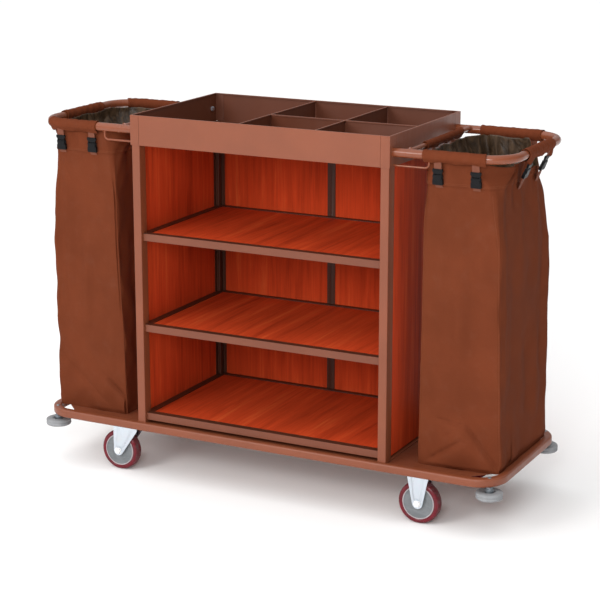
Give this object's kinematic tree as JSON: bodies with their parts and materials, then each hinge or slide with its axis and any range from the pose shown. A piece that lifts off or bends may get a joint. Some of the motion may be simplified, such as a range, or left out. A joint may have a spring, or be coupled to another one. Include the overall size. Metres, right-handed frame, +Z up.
{
  "type": "housekeeping cart",
  "caption": "Service cart with an open shelved cabinet, a divided top tray, a long rounded base on swivel and rigid casters, and cloth bags hung from tube hoops at both ends",
  "frame": {"origin": "on the floor, under the middle of the cart", "axes": "+X along the cart to its right-hand end as seen from the open front, +Y from the open front to the closed back, +Z up"},
  "size_m": [1.5286, 0.5306, 1.115],
  "materials": {
    "powder_coat": "brown satin powder coat",
    "wood_laminate": "cherry-red laminate with a streaky grain",
    "zinc": "bright blue-white zinc plate",
    "tread": "glossy dark red polyurethane",
    "hub_plastic": "matte grey moulded plastic",
    "bumper_rubber": "matte grey rubber",
    "bag_cloth": "brown woven cloth with a coated inside",
    "webbing": "brown woven webbing",
    "buckle_plastic": "black moulded plastic"
  },
  "bodies": {
    "chassis": {"side_panel_left": "wood_laminate", "side_panel_right": "wood_laminate", "back_panel_left": "wood_laminate", "back_panel_right": "wood_laminate", "shelf_board_top": "wood_laminate", "shelf_board_middle": "wood_laminate", "shelf_board_bottom": "wood_laminate", "base_rim": "powder_coat", "base_deck": "powder_coat", "crossmembers": "powder_coat", "side_sills": "powder_coat", "back_strip": "powder_coat", "tray_front": "powder_coat", "tray_back": "powder_coat", "tray_left": "powder_coat", "tray_right": "powder_coat", "tray_floor": "powder_coat", "tray_corners": "powder_coat", "tray_divider_left": "powder_coat", "tray_divider_right": "powder_coat", "tray_divider_cross": "powder_coat", "hoop_left": "powder_coat", "hoop_right": "powder_coat", "hoop_crossbars": "powder_coat", "hoop_braces": "powder_coat", "shelf_frame_top": "powder_coat", "shelf_frame_middle": "powder_coat", "shelf_frame_bottom": "powder_coat", "post_front_left": "powder_coat", "post_front_right": "powder_coat", "post_back_left": "powder_coat", "post_back_right": "powder_coat", "hoop_bolts": "zinc", "swivel_plates": "zinc", "caster_bolts": "zinc", "rigid_axles": "zinc", "bumper_bolts": "zinc", "fork_front_right": "zinc", "fork_back_right": "zinc", "bag_left": "bag_cloth", "bag_right": "bag_cloth", "bag_sleeves": "bag_cloth", "bag_straps": "webbing", "bag_buckles": "buckle_plastic"},
    "swivel_front_left": {"fork_front_left": "zinc", "axle_front_left": "zinc"},
    "wheel_front_left": {"tread_front_left": "tread", "hub_front_left": "hub_plastic"},
    "bumper_turn_front_left": {"bumper_front_left": "bumper_rubber"},
    "wheel_front_right": {"tread_front_right": "tread", "hub_front_right": "hub_plastic"},
    "bumper_turn_front_right": {"bumper_front_right": "bumper_rubber"},
    "swivel_back_left": {"fork_back_left": "zinc", "axle_back_left": "zinc"},
    "wheel_back_left": {"tread_back_left": "tread", "hub_back_left": "hub_plastic"},
    "bumper_turn_back_left": {"bumper_back_left": "bumper_rubber"},
    "wheel_back_right": {"tread_back_right": "tread", "hub_back_right": "hub_plastic"},
    "bumper_turn_back_right": {"bumper_back_right": "bumper_rubber"}
  },
  "joints": [
    {"name": "swivel_turn_front_left", "type": "hinge", "parent": "chassis", "child": "swivel_front_left", "pos_m": [-0.472, -0.2045, 0.145], "axis": [0, 0, 1], "continuous": true},
    {"name": "wheel_roll_front_left", "type": "hinge", "parent": "swivel_front_left", "child": "wheel_front_left", "pos_m": [-0.502, -0.2045, 0.0625], "axis": [0, 1, 0], "continuous": true},
    {"name": "wheel_roll_front_right", "type": "hinge", "parent": "chassis", "child": "wheel_front_right", "pos_m": [0.502, -0.2045, 0.0625], "axis": [0, 1, 0], "continuous": true},
    {"name": "swivel_turn_back_left", "type": "hinge", "parent": "chassis", "child": "swivel_back_left", "pos_m": [-0.472, 0.2045, 0.145], "axis": [0, 0, 1], "continuous": true},
    {"name": "wheel_roll_back_left", "type": "hinge", "parent": "swivel_back_left", "child": "wheel_back_left", "pos_m": [-0.502, 0.2045, 0.0625], "axis": [0, 1, 0], "continuous": true},
    {"name": "wheel_roll_back_right", "type": "hinge", "parent": "chassis", "child": "wheel_back_right", "pos_m": [0.502, 0.2045, 0.0625], "axis": [0, 1, 0], "continuous": true},
    {"name": "bumper_spin_front_left", "type": "hinge", "parent": "chassis", "child": "bumper_turn_front_left", "pos_m": [-0.7198, -0.2268, 0.127], "axis": [0, 0, 1], "continuous": true},
    {"name": "bumper_spin_front_right", "type": "hinge", "parent": "chassis", "child": "bumper_turn_front_right", "pos_m": [0.7198, -0.2268, 0.127], "axis": [0, 0, 1], "continuous": true},
    {"name": "bumper_spin_back_left", "type": "hinge", "parent": "chassis", "child": "bumper_turn_back_left", "pos_m": [-0.7198, 0.2268, 0.127], "axis": [0, 0, 1], "continuous": true},
    {"name": "bumper_spin_back_right", "type": "hinge", "parent": "chassis", "child": "bumper_turn_back_right", "pos_m": [0.7198, 0.2268, 0.127], "axis": [0, 0, 1], "continuous": true}
  ]
}
